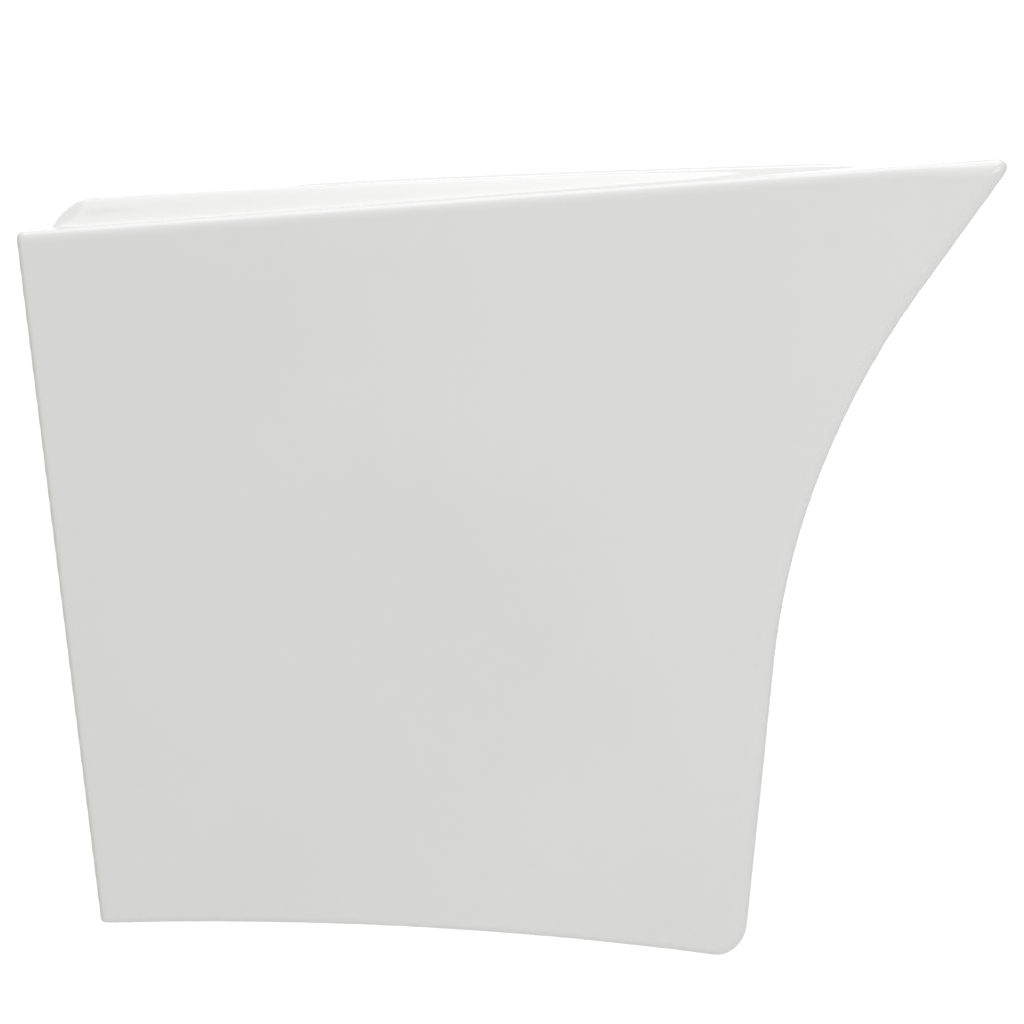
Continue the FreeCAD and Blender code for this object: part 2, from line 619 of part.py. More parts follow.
tap_bore = cylinder("tap_bore", "tap_hole / 2", "deck_under + crest_rise + 10",
                    ("0", "-tap_from_wall", "rim_level - deck_under - 5"))
fixing_bores = [
    cylinder(
        "fixing_bore_" + name, "fixing_hole / 2", "back_wall + 10",
        (side_x, "-back_wall - 5", "0"), "-90 deg")
    for name, side_x in (("left", "-fixing_spread / 2"), ("right", "fixing_spread / 2"))
]
solid_inside = fuse("solid_inside", [bowl_shell, boss, duct_housing])
cavity = cut("cavity", hollow, solid_inside)
outside = fuse("outside", [shell, shoulder])
wet_side = [bowl, fall, recess, drain, duct, overflow_bore]
openings = fuse("openings", [cavity, tap_bore] + wet_side + fixing_bores)
basin = cut("basin", outside, openings)

# ---------------------------------------------------------------- waste

SEAT_TOP = "-(%s) + seal_thick" % SEAT
FLANGE_TOP = SEAT_TOP + " + flange_thick"
TAIL_END = SEAT_TOP + " - tail_length"
LEDGE = SEAT_TOP + " - ledge_drop"
BAR_TOP = LEDGE + " + crossbar_thick"
PLUG_BASE = FLANGE_TOP + " + plug_gap"
SKIRT_BASE = PLUG_BASE + " - skirt_depth"
BASIN_UNDER = "-(bowl_depth + floor_fall + boss_height)"

TRIM_RADIUS = "overflow_hole / 2 + trim_lap"
overflow_trim = turned("overflow_trim", (
    ("overflow_hole / 2 - seat_gap - trim_wall", "-trim_thick"),
    (TRIM_RADIUS + " - 1", "-trim_thick"),
    (TRIM_RADIUS, "-trim_thick + 1"),
    (TRIM_RADIUS, "0"),
    ("overflow_hole / 2 - seat_gap", "0"),
    ("overflow_hole / 2 - seat_gap", "trim_sleeve"),
    ("overflow_hole / 2 - seat_gap - trim_wall", "trim_sleeve"),
))
overflow_trim.Placement.Rotation = FreeCAD.Rotation(FreeCAD.Vector(1, 0, 0), -90)
bind(overflow_trim, "Placement.Rotation.Angle", BORE_TILT)
bind(overflow_trim, "Placement.Base.y", "-deck_depth - back_slope_run / bowl_depth * overflow_drop")
bind(overflow_trim, "Placement.Base.z", "rim_level - overflow_drop")

upper_seal = ring(
    "waste_upper_seal", "tail_radius + seat_gap", "flange_radius - 1", "-(%s)" % SEAT, SEAT_TOP)

waste_body = turned("waste_body", (
    ("tail_bore", FLANGE_TOP),
    ("flange_radius - 1", FLANGE_TOP),
    ("flange_radius", FLANGE_TOP + " - 1"),
    ("flange_radius", SEAT_TOP),
    ("tail_radius", SEAT_TOP),
    ("tail_radius", TAIL_END),
    ("ledge_bore", TAIL_END),
    ("ledge_bore", LEDGE),
    ("tail_bore", LEDGE),
))
for role in ("XZ_Plane", "YZ_Plane"):
    slot = new_sketch(waste_body, role)
    add_outline(slot, (
        ("-slot_width / 2", "-(%s)" % DUCT_TOP),
        ("-slot_width / 2", "-(%s) - duct_gap" % DUCT_TOP),
        ("slot_width / 2", "-(%s) - duct_gap" % DUCT_TOP),
        ("slot_width / 2", "-(%s)" % DUCT_TOP),
    ))
    window = waste_body.newObject("PartDesign::Pocket", "slots_" + role[:2])
    window.Profile = slot
    window.Type = "ThroughAll"
    window.SideType = "Symmetric"
    waste_body.Tip = window

bar_z = "rim_level + (%s)" % LEDGE
hub = cylinder("hub", "hub_radius", "crossbar_thick", ("0", DRAIN, bar_z))
reach = "2 * (tail_bore - seat_gap)"
arms = [
    box("arm_across", reach, "arm_width", "crossbar_thick",
        ("-(%s) / 2" % reach, DRAIN + " - arm_width / 2", bar_z)),
    box("arm_along", "arm_width", reach, "crossbar_thick",
        ("-arm_width / 2", DRAIN + " - (%s) / 2" % reach, bar_z)),
]
hub_bore = cylinder(
    "hub_bore", "cartridge_radius + seat_gap", "crossbar_thick + 2", ("0", DRAIN, bar_z + " - 1"))
crossbar = cut("waste_crossbar", fuse("crossbar_solid", [hub] + arms), hub_bore)

CARTRIDGE_FLOOR = BAR_TOP + " - cartridge_length + 3"
CARTRIDGE_BORE = "stem_radius + stem_gap"
cartridge = turned("click_cartridge", (
    (CARTRIDGE_BORE, BAR_TOP + " + collar_thick"),
    ("collar_radius", BAR_TOP + " + collar_thick"),
    ("collar_radius", BAR_TOP),
    ("cartridge_radius", BAR_TOP),
    ("cartridge_radius", BAR_TOP + " - cartridge_length"),
    ("0", BAR_TOP + " - cartridge_length"),
    ("0", CARTRIDGE_FLOOR),
    (CARTRIDGE_BORE, CARTRIDGE_FLOOR),
))
STEM_END = BAR_TOP + " + collar_thick - stem_insert"
stem = turned("plug_stem", (
    ("0", STEM_END),
    ("stem_radius", STEM_END),
    ("stem_radius", SKIRT_BASE + " + stem_screwed"),
    ("0", SKIRT_BASE + " + stem_screwed"),
))
plug = turned("waste_plug", (
    ("0", SKIRT_BASE + " + stem_screwed"),
    ("stem_radius + thread_gap", SKIRT_BASE + " + stem_screwed"),
    ("stem_radius + thread_gap", SKIRT_BASE),
    ("skirt_radius + 2", SKIRT_BASE),
    ("skirt_radius + 2", SKIRT_BASE + " + skirt_lip"),
    ("skirt_radius", SKIRT_BASE + " + skirt_lip"),
    ("skirt_radius", PLUG_BASE),
    ("plug_radius", PLUG_BASE),
    ("plug_radius", PLUG_BASE + " + plug_thick - 1"),
    ("plug_radius - 1", PLUG_BASE + " + plug_thick"),
    ("0", PLUG_BASE + " + plug_thick + plug_dome"),
))
plug_seal = ring(
    "plug_seal", "skirt_radius", "tail_bore - slide_gap",
    SKIRT_BASE + " + skirt_lip", SKIRT_BASE + " + skirt_lip + plug_seal_height")

# The wire's twelve-sided section stands square to the coil, so it is laid back by the coil's climb.
COIL_RADIUS = "(%s - slide_gap - spring_wire / 2)" % CARTRIDGE_BORE
COIL_HEIGHT = "((%s) - (%s) - spring_wire)" % (STEM_END, CARTRIDGE_FLOOR)
coil = doc.addObject("Part::Helix", "coil")
bind(coil, "Radius", COIL_RADIUS)
bind(coil, "Height", COIL_HEIGHT)
bind(coil, "Pitch", COIL_HEIGHT + " / spring_turns")
wire = doc.addObject("Part::RegularPolygon", "wire")
wire.Polygon = 12
bind(wire, "Circumradius", "spring_wire / 2")
wire.Placement = FreeCAD.Placement(FreeCAD.Vector(), FreeCAD.Rotation(FreeCAD.Vector(1, 0, 0), 90))
bind(wire, "Placement.Rotation.Angle",
     "90 deg + atan(%s / (2 * pi * spring_turns * %s))" % (COIL_HEIGHT, COIL_RADIUS))
bind(wire, "Placement.Base.x", COIL_RADIUS)
spring = doc.addObject("Part::Sweep", "click_spring")
spring.Sections = [wire]
spring.Spine = (coil, [])
spring.Solid = True
spring.Frenet = True
bind(spring, "Placement.Base.y", DRAIN)
bind(spring, "Placement.Base.z", "rim_level + (%s) + spring_wire / 2" % CARTRIDGE_FLOOR)

LOWER = BASIN_UNDER + " - lower_seal_thick"
NUT_TOP = LOWER + " - slip_thick"
lower_seal = ring("waste_lower_seal", "tail_radius + seat_gap", "washer_radius", LOWER, BASIN_UNDER)
slip_washer = ring("waste_slip_washer", "tail_radius + seat_gap", "washer_radius", NUT_TOP, LOWER)

backnut = new_body("waste_backnut")
hexagon = new_sketch(backnut, "XY_Plane", NUT_TOP + " - backnut_thick")
add_outline(hexagon, [
    ("backnut_flats / sqrt(3) * cos(%d)" % turn, "backnut_flats / sqrt(3) * sin(%d)" % turn)
    for turn in range(0, 360, 60)
])
bore = hexagon.addGeometry(
    Part.Circle(FreeCAD.Vector(), FreeCAD.Vector(0, 0, 1), size("tail_radius + thread_gap")), False)
hexagon.addConstraint(Sketcher.Constraint("Coincident", bore, 3, -1, 1))
bind(hexagon, "Constraints[%d]" % hexagon.addConstraint(
    Sketcher.Constraint("Radius", bore, size("tail_radius + thread_gap"))), "tail_radius + thread_gap")
nut_pad = backnut.newObject("PartDesign::Pad", "backnut_pad")
nut_pad.Profile = hexagon
bind(nut_pad, "Length", "backnut_thick")
bind(backnut, "Placement.Base.y", DRAIN)
bind(backnut, "Placement.Base.z", "rim_level")

# ---------------------------------------------------------------- trap


def trap_nut(label, lip_face, upward, lying=False):
    """A ribbed nut whose lip bears on lip_face; upward says which way its thread runs from the lip."""
    far = "%s %s nut_lip" % (lip_face, "-" if upward else "+")
    mouth = "%s %s nut_height" % (far, "+" if upward else "-")
    outside = "tail_radius + nut_wall"
    nut = turned(label, (
        ("pipe_radius + slide_gap", far),
        (outside, far),
        (outside, mouth),
        ("tail_radius + thread_gap", mouth),
        ("tail_radius + thread_gap", lip_face),
        ("pipe_radius + slide_gap", lip_face),
    ), lying)
    add_ribs(nut, outside, "nut_ribs", far if upward else mouth, "nut_height")
    return nut


PIPE_BORE = "pipe_radius - pipe_wall"
COLLAR_TOP = TAIL_END + " - collar_drop"
SHOULDER = COLLAR_TOP + " - collar_height"
OUTLET_Z = "rim_level + (%s) - outlet_drop" % COLLAR_TOP
CUP_TOP = COLLAR_TOP + " - outlet_drop - tail_radius - cup_gap"
BOTTLE_BASE = CUP_TOP + " - cup_overlap"
CUP_BASE = BOTTLE_BASE + " - cup_depth"
TUBE_TOP = TAIL_END + " - seal_thick"
TUBE_LIP = TUBE_TOP + " - pipe_flange_thick"
inlet_washer = ring("trap_inlet_washer", PIPE_BORE, "tail_radius - seat_gap", TUBE_TOP, TAIL_END)
dip_tube = turned("trap_dip_tube", (
    (PIPE_BORE, TUBE_TOP),
    ("tail_radius - seat_gap", TUBE_TOP),
    ("tail_radius - seat_gap", TUBE_LIP),
    ("pipe_radius", TUBE_LIP),
    ("pipe_radius", CUP_BASE + " + dip_clear"),
    (PIPE_BORE, CUP_BASE + " + dip_clear"),
))
inlet_nut = trap_nut("trap_inlet_nut", TUBE_LIP, True)

top_washer = ring("trap_top_washer", "pipe_radius + thread_gap", "tail_radius - seat_gap",
                  COLLAR_TOP, COLLAR_TOP + " + seal_thick")
top_nut = trap_nut("trap_top_nut", COLLAR_TOP + " + seal_thick", False)

trap_outside = turned("trap_outside", (
    ("0", COLLAR_TOP),
    ("tail_radius", COLLAR_TOP),
    ("tail_radius", SHOULDER),
    ("bottle_radius - 2", SHOULDER),
    ("bottle_radius", SHOULDER + " - 2"),
    ("bottle_radius", BOTTLE_BASE),
    ("0", BOTTLE_BASE),
))
trap_inside = turned("trap_inside", (
    ("0", COLLAR_TOP + " + 1"),
    ("pipe_radius + slide_gap", COLLAR_TOP + " + 1"),
    ("pipe_radius + slide_gap", SHOULDER + " - bottle_wall"),
    ("bottle_radius - bottle_wall", SHOULDER + " - bottle_wall"),
    ("bottle_radius - bottle_wall", BOTTLE_BASE + " - 1"),
    ("0", BOTTLE_BASE + " - 1"),
))
SPIGOT_END = "bottle_radius + spigot_reach"
spigot = cylinder("spigot", "tail_radius", SPIGOT_END, ("0", DRAIN, OUTLET_Z), "-90 deg")
spigot_bore = cylinder(
    "spigot_bore", "pipe_radius + slide_gap", SPIGOT_END + " + 1", ("0", DRAIN, OUTLET_Z), "-90 deg")
trap_solid = fuse("trap_solid", [trap_outside, spigot])
trap_hollow = fuse("trap_hollow", [trap_inside, spigot_bore])
trap_body = cut("trap_body", trap_solid, trap_hollow)

CUP_STEP = BOTTLE_BASE + " - seal_thick"
CUP_INNER = "bottle_radius + thread_gap"
cup_seal = ring("trap_cup_seal", "bottle_radius - bottle_wall", "bottle_radius", CUP_STEP, BOTTLE_BASE)
cup = turned("trap_cup", (
    (CUP_INNER, CUP_TOP),
    (CUP_INNER + " + cup_wall", CUP_TOP),
    (CUP_INNER + " + cup_wall", CUP_BASE + " + 4"),
    (CUP_INNER + " + cup_wall - 4", CUP_BASE),
    ("0", CUP_BASE),
    ("0", CUP_BASE + " + cup_wall"),
    ("bottle_radius - bottle_wall", CUP_BASE + " + cup_wall"),
    ("bottle_radius - bottle_wall", CUP_STEP),
    (CUP_INNER, CUP_STEP),
))
add_ribs(
    cup, CUP_INNER + " + cup_wall", "cup_ribs",
    CUP_BASE + " + 6", "cup_depth + cup_overlap - 6")

outlet_washer = ring("trap_outlet_washer", "pipe_radius + thread_gap", "tail_radius - seat_gap",
                     SPIGOT_END, SPIGOT_END + " + seal_thick", lying=True)
outlet_nut = trap_nut("trap_outlet_nut", SPIGOT_END + " + seal_thick", False, lying=True)
outlet_pipe = ring("trap_outlet_pipe", PIPE_BORE, "pipe_radius",
                   "bottle_radius + 2", "drain_from_wall - pipe_stop", lying=True)
ROSE_FRONT = "drain_from_wall - rose_depth"
wall_rose = turned("wall_rose", (
    ("pipe_radius + slide_gap", ROSE_FRONT),
    ("pipe_radius + slide_gap + rose_wall", ROSE_FRONT),
    ("rose_radius", "drain_from_wall - rose_wall * 1.5"),
    ("rose_radius", "drain_from_wall"),
    ("rose_radius - rose_wall", "drain_from_wall"),
    ("pipe_radius + slide_gap", ROSE_FRONT + " + rose_wall * 1.5"),
), lying=True)

# ---------------------------------------------------------------- export

NODES = (
    basin, overflow_trim, upper_seal, waste_body, crossbar, cartridge, spring, stem, plug, plug_seal,
    lower_seal, slip_washer, backnut, inlet_nut, inlet_washer, dip_tube, top_nut, top_washer,
    trap_body, cup, cup_seal, outlet_nut, outlet_washer, outlet_pipe, wall_rose,
)
doc.recompute()
for item in doc.Objects:
    if "Invalid" in item.State or "Error" in item.State:
        raise RuntimeError("%s failed to build" % item.Label)
for node in NODES:
    if node.Shape.isNull() or not node.Shape.isValid():
        raise RuntimeError("%s has no valid shape" % node.Label)
os.makedirs("parts", exist_ok=True)
for node in NODES:
    node.Shape.exportStep("parts/%s.step" % node.Label)
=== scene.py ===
import json
import math

import bpy
import numpy as np
from mathutils import Matrix, Vector


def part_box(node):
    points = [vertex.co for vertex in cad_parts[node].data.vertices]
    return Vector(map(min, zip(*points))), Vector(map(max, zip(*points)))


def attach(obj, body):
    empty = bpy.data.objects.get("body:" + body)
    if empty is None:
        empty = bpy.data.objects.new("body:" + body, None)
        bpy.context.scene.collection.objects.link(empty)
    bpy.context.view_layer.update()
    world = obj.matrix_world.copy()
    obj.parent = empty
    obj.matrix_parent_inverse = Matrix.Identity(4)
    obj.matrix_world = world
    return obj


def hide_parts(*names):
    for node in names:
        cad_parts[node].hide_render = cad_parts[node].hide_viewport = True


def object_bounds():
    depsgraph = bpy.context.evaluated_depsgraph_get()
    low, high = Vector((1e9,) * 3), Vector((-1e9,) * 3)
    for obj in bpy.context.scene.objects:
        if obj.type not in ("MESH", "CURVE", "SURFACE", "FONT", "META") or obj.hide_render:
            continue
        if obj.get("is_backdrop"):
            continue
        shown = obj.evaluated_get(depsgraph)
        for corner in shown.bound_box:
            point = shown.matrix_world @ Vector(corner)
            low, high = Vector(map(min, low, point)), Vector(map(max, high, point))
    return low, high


bl_info = {
    "name": "Half-pedestal washbasin",
    "version": (1, 0, 0),
    "blender": (4, 5, 0),
    "location": "3D View > Sidebar > Washbasin",
    "description": "Dresses the packed washbasin: glazed ceramic, waste and trap finishes, and a studio",
    "category": "Object",
}

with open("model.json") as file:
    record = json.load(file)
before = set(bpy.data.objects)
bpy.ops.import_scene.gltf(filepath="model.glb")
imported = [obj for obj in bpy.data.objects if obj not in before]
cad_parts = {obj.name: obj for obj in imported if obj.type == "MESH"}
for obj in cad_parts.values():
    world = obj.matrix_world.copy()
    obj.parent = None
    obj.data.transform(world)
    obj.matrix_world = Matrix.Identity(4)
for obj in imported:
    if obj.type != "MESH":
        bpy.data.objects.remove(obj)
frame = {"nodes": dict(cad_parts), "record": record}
cad_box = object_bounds()

MOUNTS = {mount["name"]: mount for mount in frame["record"]["mounts"]}
BASIN_LOW, BASIN_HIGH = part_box("basin")
RIM = MOUNTS["tap_hole"]["pos_m"][2]
TAP = Vector(MOUNTS["tap_hole"]["pos_m"])
SLOTS = {part["node"]: part["material_slot"] for part in frame["record"]["subparts"]}
DRAIN_Y = sum(corner.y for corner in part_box("waste_body")) / 2
RIM_RADIUS, NOSE_RADIUS = 0.006, 0.0095  # rounding of the rim's edge at the sides, and at the front lip
NOSE_CUT = 0.0051  # what the rounded nose takes off the projection
LIP_ANGLE = math.radians(51.5)
EDGE_CUT = 0.0009  # what the rounded rim edge takes off each side of the width
BOTTOM_EDGE, LIP_FLANK, SHROUD_FLANK = 0.004, 0.007, 0.011  # rounding of each side's edge, from place to place
TOE_RADIUS = 0.018  # between the shroud's front and its bottom
FALL_RADIUS, FALL_RUN = 0.105, 0.07  # round the drain, where the bowl's floor falls
LEANING_SHARE = 0.92  # level distance to true distance, for walls that lean as the bowl's do

# The overflow duct: behind the bowl's back wall, then forward under its floor. Depths are below the rim.
DUCT_GAP, DUCT_WIDTH = 0.012, 0.034
DUCT_BEHIND = 0.015  # the bowl's back wall to the duct's middle
DUCT_TOP, DUCT_FLOOR = 0.026, 0.153
DUCT_BACK, DUCT_END = 0.119, 0.015

# The hollow behind and under the bowl.
BACK_WALL, BACK_WALL_DROP = 0.014, 0.165
DECK_UNDER, RIM_SOLID = 0.008, 0.032
BOSS_RADIUS, BOSS_DROP = 0.040, 0.178  # the thick ring round the drain
DUCT_WALL = 0.008

# Holes and seats, with their depths below the rim.
SEAT_RADIUS, SEAT_DROP = 0.0335, 0.143
BORE_RADIUS, BORE_TOP = 0.023, 0.1
TAP_RADIUS, TAP_REACH = MOUNTS["tap_hole"]["dims"]["r_mm"] / 1000, 0.03
FIXINGS = MOUNTS["wall_fixings"]["dims"]
FIXING_X, FIXING_RADIUS, FIXING_REACH = FIXINGS["spacing_x_mm"] / 2000, FIXINGS["hole_r_mm"] / 1000, 0.03
OVERFLOW_DROP, OVERFLOW_RADIUS = 0.042, 0.012
OVERFLOW_MIDDLE, OVERFLOW_REACH = 0.003, 0.013  # its middle behind the bowl's wall, and half its length


# ------------------------------------------------------------------ sizes


class CeramicSizes(bpy.types.PropertyGroup):
    """Sizes of the casting, in metres, with depths measured down from the rim's outer edge."""

    half_width: bpy.props.FloatProperty(
        name="Half width", description="Middle to the sharp outer edge of the rim",
        default=BASIN_HIGH.x + EDGE_CUT, unit="LENGTH")
    nose: bpy.props.FloatProperty(
        name="Nose", description="Wall to the sharp front corner before its rounding",
        default=-BASIN_LOW.y + NOSE_CUT, unit="LENGTH")
    side_taper: bpy.props.FloatProperty(
        name="Side taper", description="Lean of each side towards the middle",
        default=math.radians(10.8), subtype="ANGLE")
    lip_angle: bpy.props.FloatProperty(
        name="Lip angle", description="Underside of the front lip from level",
        default=LIP_ANGLE, subtype="ANGLE")
    front_lean: bpy.props.FloatProperty(
        name="Front lean", description="Front of the shroud from upright",
        default=math.radians(8.3), subtype="ANGLE")
    sweep_radius: bpy.props.FloatProperty(
        name="Sweep radius", description="Hollow curve under the lip", default=0.40, unit="LENGTH")
    back_height: bpy.props.FloatProperty(
        name="Back height", description="Rim to the bottom at the wall", default=0.375, unit="LENGTH")
    front_height: bpy.props.FloatProperty(
        name="Front height", description="Rim to the bottom at the front", default=0.424, unit="LENGTH")
    base_depth: bpy.props.FloatProperty(
        name="Base depth", description="Wall to the front at the bottom", default=0.3465, unit="LENGTH")
    arch_rise: bpy.props.FloatProperty(
        name="Arch rise", description="Rise of the bottom edge above its chord", default=0.008, unit="LENGTH")
    wall: bpy.props.FloatProperty(
        name="Wall", description="Thickness of the casting", default=0.012, unit="LENGTH")
    crest: bpy.props.FloatProperty(
        name="Shoulder", description="Shoulder above the outer edge at the tap deck",
        default=BASIN_HIGH.z - RIM - 0.0001, unit="LENGTH")
    crest_end: bpy.props.FloatProperty(
        name="Shoulder end", description="Wall to where the shoulder dies away", default=0.462, unit="LENGTH")
    crest_sag: bpy.props.FloatProperty(
        name="Shoulder bulge", description="Shoulder above its chord", default=0.002, unit="LENGTH")
    ledge: bpy.props.FloatProperty(
        name="Wall ledge", description="Flat strip between the wall and the shoulder", default=0.015,
        unit="LENGTH")
    side_ledge: bpy.props.FloatProperty(
        name="Side ledge", description="Outer edge to the foot of the shoulder", default=0.007, unit="LENGTH")
    shoulder_run: bpy.props.FloatProperty(
        name="Shoulder run", description="Width of the slope up to the shoulder at the sides", default=0.014,
        unit="LENGTH")
    wall_run: bpy.props.FloatProperty(
        name="Shoulder run at the wall", description="Width of the slope up to the shoulder at the wall",
        default=0.024, unit="LENGTH")
    bowl_depth: bpy.props.FloatProperty(
        name="Bowl depth", description="Rim to the bowl floor", default=0.135, unit="LENGTH")
    side_slope: bpy.props.FloatProperty(
        name="Side slope", description="How far each side wall of the bowl leans in", default=0.042,
        unit="LENGTH")
    back_slope: bpy.props.FloatProperty(
        name="Back slope", description="How far the bowl's back wall leans in", default=0.028, unit="LENGTH")
    front_slope: bpy.props.FloatProperty(
        name="Front slope", description="How far the bowl's front wall leans in", default=0.096,
        unit="LENGTH")
    bowl_corner: bpy.props.FloatProperty(
        name="Bowl corner", description="Corner radius of the bowl at the rim", default=0.060, unit="LENGTH")
    floor_corner: bpy.props.FloatProperty(
        name="Floor corner", description="Corner radius of the bowl at its floor", default=0.055,
        unit="LENGTH")
    cove: bpy.props.FloatProperty(
        name="Cove", description="Rounding between the bowl's walls and its floor", default=0.038,
        unit="LENGTH")
    floor_fall: bpy.props.FloatProperty(
        name="Floor fall", description="Fall of the bowl's floor to the drain", default=0.005, unit="LENGTH")
    bowl_side: bpy.props.FloatProperty(
        name="Side rim", description="Outer edge to the bowl at the sides", default=0.031, unit="LENGTH")
    bowl_front: bpy.props.FloatProperty(
        name="Front rim", description="Wall to the front of the bowl", default=0.466, unit="LENGTH")
    deck: bpy.props.FloatProperty(
        name="Tap deck", description="Wall to the back of the bowl", default=0.112, unit="LENGTH")
    grid: bpy.props.FloatProperty(
        name="Mesh grid", description="Spacing of the skin's faces", default=0.0025, unit="LENGTH")
    draft_grid: bpy.props.FloatProperty(
        name="Draft grid", description="Spacing of the skin's faces in a quick draft", default=0.005,
        unit="LENGTH")


# ------------------------------------------------------------------ casting


def round_max(a, b, radius):
    """The overlap of two solids given as signed distances, with a rounded edge between them."""
    edge = np.hypot(np.maximum(a + radius, 0), np.maximum(b + radius, 0))
    return np.minimum(np.maximum(a, b), -radius) + edge


def round_min(a, b, radius):
    """Two solids joined, with a rounded inner corner between them."""
    return -round_max(-a, -b, radius)


def smooth_step(t):
    t = np.clip(t, 0, 1)
    return t * t * (3 - 2 * t)


def front_distance(sizes, y, z):
    """Signed distance to the lip, the hollow sweep and the shroud's front, seen from the side."""
    lip, lean, bend = sizes.lip_angle, sizes.front_lean, sizes.sweep_radius
    toe_y, toe_z = -sizes.base_depth, -sizes.front_height
    on_lip = -math.sin(lip) * (y + sizes.nose) - math.cos(lip) * z
    on_shroud = -math.cos(lean) * (y - toe_y) - math.sin(lean) * (z - toe_z)
    # Where the two lines meet, and the centre of the curve that rounds that corner off.
    run = ((toe_y + sizes.nose) * math.cos(lean) + toe_z * math.sin(lean)) / math.cos(lip + lean)
    trim = bend * math.tan((math.pi / 2 - lip - lean) / 2)
    corner = Vector((-sizes.nose + run * math.cos(lip), -run * math.sin(lip)))
    centre = corner + Vector((math.sin(lean), -math.cos(lean))) * trim
    centre -= Vector((math.cos(lean), math.sin(lean))) * bend
    turn = np.arctan2(z - centre.y, y - centre.x)
    on_sweep = bend - np.hypot(y - centre.x, z - centre.y)
    return np.where(turn > math.pi / 2 - lip, on_lip, np.where(turn < lean, on_shroud, on_sweep))


def bottom_distance(sizes, y, z):
    """Signed distance to the arched bottom edge."""
    heel, toe = Vector((0, -sizes.back_height)), Vector((-sizes.base_depth, -sizes.front_height))
    chord = toe - heel
    radius = (chord.length_squared / 4 + sizes.arch_rise ** 2) / (2 * sizes.arch_rise)
    down = Vector((-chord.y, chord.x)).normalized()
    centre = (heel + toe) / 2 + down * (radius - sizes.arch_rise)
    return radius - np.hypot(y - centre.x, z - centre.y)


def top_height(sizes, x, y):
    """Height of the rim's top face: flat at the outer edge, raised along the shoulder."""
    start = sizes.ledge + sizes.shoulder_run
    along = np.maximum((-y - start) / (sizes.crest_end - start), 0)
    crest = sizes.crest * (1 - along) + 4 * sizes.crest_sag * along * (1 - along)
    crest = (crest + np.hypot(crest, 0.0015)) / 2
    from_side = smooth_step((sizes.half_width - np.abs(x) - sizes.side_ledge) / sizes.shoulder_run)
    from_wall = smooth_step(np.sqrt(np.maximum(-y - sizes.ledge, 0) / sizes.wall_run))
    return crest * from_side * from_wall


def bowl_distance(sizes, x, y, z):
    """Signed distance to the bowl's empty space."""
    share = np.clip(-z / sizes.bowl_depth, 0, 1)
    half = sizes.half_width - sizes.bowl_side - sizes.side_slope * share
    back = -sizes.deck - sizes.back_slope * share
    front = -sizes.bowl_front + sizes.front_slope * share
    corner = sizes.bowl_corner - (sizes.bowl_corner - sizes.floor_corner) * share
    across = np.abs(x) - half + corner
    along = np.abs(y - (back + front) / 2) - (back - front) / 2 + corner
    outside = np.hypot(np.maximum(across, 0), np.maximum(along, 0))
    walls = (outside + np.minimum(np.maximum(across, along), 0) - corner) * LEANING_SHARE
    radius = np.hypot(x, y - DRAIN_Y)
    floor = -z - sizes.bowl_depth - sizes.floor_fall * smooth_step((FALL_RADIUS - radius) / FALL_RUN)
    return round_max(walls, floor, sizes.cove)


def duct_distance(sizes, x, y, z):
    """Signed distance to the overflow duct, behind the bowl and under its floor."""
    lean = sizes.back_slope / sizes.bowl_depth
    behind = np.abs(y + sizes.deck - lean * z - DUCT_BEHIND) - DUCT_GAP / 2
    upright = np.maximum(behind, np.maximum(z + DUCT_TOP, -z - DUCT_FLOOR - DUCT_GAP / 2))
    ends = np.maximum(y + DUCT_BACK, DRAIN_Y + DUCT_END - y)
    under = np.maximum(np.abs(z + DUCT_FLOOR) - DUCT_GAP / 2, ends)
    return np.maximum(np.minimum(upright, under), np.abs(x) - DUCT_WIDTH / 2)


def side_distance(sizes, x, z):
    lean = sizes.side_taper
    return (np.abs(x) - sizes.half_width - math.tan(lean) * z) * math.cos(lean)


def hollow_distance(sizes, points):
    """Signed distance to the hollow behind and under the bowl, which the shroud hides."""
    x, y, z = points[..., 0], points[..., 1], points[..., 2] - RIM
    wall = sizes.wall
    hollow = round_max(side_distance(sizes, x, z) + wall, front_distance(sizes, y, z) + wall, 0.010)
    roof = DECK_UNDER + (RIM_SOLID - DECK_UNDER) * smooth_step((-y - 0.085) / 0.03)
    hollow = round_max(hollow, z + roof, 0.008)
    hollow = round_max(hollow, round_min(y + BACK_WALL, z + BACK_WALL_DROP, 0.005), 0.006)
    hollow = round_max(hollow, wall - bowl_distance(sizes, x, y, z), 0.010)
    boss = round_max(np.hypot(x, y - DRAIN_Y) - BOSS_RADIUS, -z - BOSS_DROP, 0.004)
    hollow = round_max(hollow, -boss, 0.008)
    return round_max(hollow, DUCT_WALL - duct_distance(sizes, x, y, z), 0.006)


def bareness(sizes, points):
    """How bare of glaze each point is: 1 inside the hollow and on the wall face, 0 outside."""
    inside = smooth_step(0.5 - (hollow_distance(sizes, points) - 0.003) / 0.004)
    on_wall = smooth_step((points[:, 1] + 0.0022) / 0.0016)
    return np.maximum(inside, on_wall)


